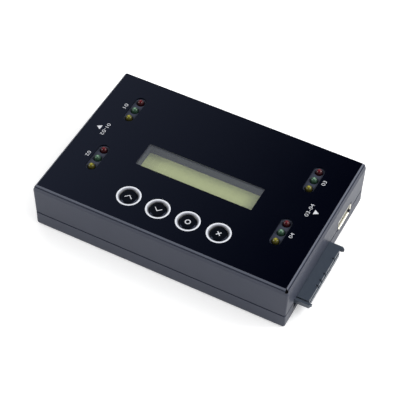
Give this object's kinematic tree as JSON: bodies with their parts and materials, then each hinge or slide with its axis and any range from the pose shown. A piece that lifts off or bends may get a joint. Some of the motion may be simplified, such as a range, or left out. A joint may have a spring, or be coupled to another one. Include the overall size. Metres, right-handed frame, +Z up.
{
  "type": "stand-alone drive duplicator",
  "caption": "Flat grey box with a gloss black top panel, a character display, a row of round keys, status lights and drive and data sockets on both short sides.",
  "frame": {"origin": "centre of the case's footprint, on the surface that the rubber feet stand on", "axes": "+X towards the target side (right), +Y towards the back, +Z up out of the panel"},
  "size_m": [0.1388, 0.0824, 0.0263],
  "materials": {
    "case_plastic": "fine matt moulded grey",
    "panel_gloss": "smooth gloss black",
    "clear_pane": "clear",
    "foot_rubber": "matt black",
    "screw_steel": "dark zinc",
    "ring_plastic": "bright satin",
    "key_plastic": "satin black",
    "switch_black": "moulded black",
    "led_red": "tinted clear resin",
    "led_green": "milky green resin",
    "led_yellow": "tinted yellow resin",
    "bezel_steel": "black sheet steel",
    "display_film": "grey-green display film",
    "backlight_white": "white diffuser",
    "board_green": "solder mask",
    "capacitor_sleeve": "shrink sleeve",
    "usb_steel": "bright plated",
    "tongue_white": "moulded white",
    "contact_gold": "gold plated",
    "socket_plastic": "moulded dark grey",
    "inlet_pin": "nickel plated"
  },
  "bodies": {
    "case": {"upper_shell": "case_plastic", "lower_shell": "case_plastic", "front_panel": "panel_gloss", "window_pane": "clear_pane", "rubber_feet": "foot_rubber", "case_screws": "screw_steel", "up_key_ring": "ring_plastic", "up_key_switch": "switch_black", "down_key_ring": "ring_plastic", "down_key_switch": "switch_black", "ok_key_ring": "ring_plastic", "ok_key_switch": "switch_black", "cancel_key_ring": "ring_plastic", "cancel_key_switch": "switch_black", "source_usb_red_led": "led_red", "source_usb_green_led": "led_green", "source_usb_yellow_led": "led_yellow", "source_drive_red_led": "led_red", "source_drive_green_led": "led_green", "source_drive_yellow_led": "led_yellow", "target_usb_red_led": "led_red", "target_usb_green_led": "led_green", "target_usb_yellow_led": "led_yellow", "target_drive_red_led": "led_red", "target_drive_green_led": "led_green", "target_drive_yellow_led": "led_yellow", "display_bezel": "bezel_steel", "display_glass": "display_film", "display_backlight": "backlight_white", "display_board": "board_green", "display_header": "switch_black", "display_screws": "screw_steel", "panel_board": "board_green", "panel_board_screws": "screw_steel", "main_board": "board_green", "main_board_screws": "screw_steel", "board_link": "switch_black", "main_chip": "switch_black", "supply_capacitor": "capacitor_sleeve", "target_usb_shell": "usb_steel", "target_usb_tongue": "tongue_white", "target_usb_contacts": "contact_gold", "target_drive_socket": "socket_plastic", "target_drive_contacts": "contact_gold", "source_usb_shell": "usb_steel", "source_usb_tongue": "tongue_white", "source_usb_contacts": "contact_gold", "source_drive_socket": "socket_plastic", "source_drive_contacts": "contact_gold", "power_inlet": "switch_black", "power_inlet_pin": "inlet_pin"},
    "up_button": {"up_key": "key_plastic", "up_key_plunger": "key_plastic"},
    "down_button": {"down_key": "key_plastic", "down_key_plunger": "key_plastic"},
    "ok_button": {"ok_key": "key_plastic", "ok_key_plunger": "key_plastic"},
    "cancel_button": {"cancel_key": "key_plastic", "cancel_key_plunger": "key_plastic"}
  },
  "joints": [
    {"name": "up_press", "type": "slide", "parent": "case", "child": "up_button", "axis": [0, 0, 1], "range_m": [-0.0003, 0], "stiffness_N_per_m": 4000, "springref_m": 0.0001},
    {"name": "down_press", "type": "slide", "parent": "case", "child": "down_button", "axis": [0, 0, 1], "range_m": [-0.0003, 0], "stiffness_N_per_m": 4000, "springref_m": 0.0001},
    {"name": "ok_press", "type": "slide", "parent": "case", "child": "ok_button", "axis": [0, 0, 1], "range_m": [-0.0003, 0], "stiffness_N_per_m": 4000, "springref_m": 0.0001},
    {"name": "cancel_press", "type": "slide", "parent": "case", "child": "cancel_button", "axis": [0, 0, 1], "range_m": [-0.0003, 0], "stiffness_N_per_m": 4000, "springref_m": 0.0001}
  ]
}
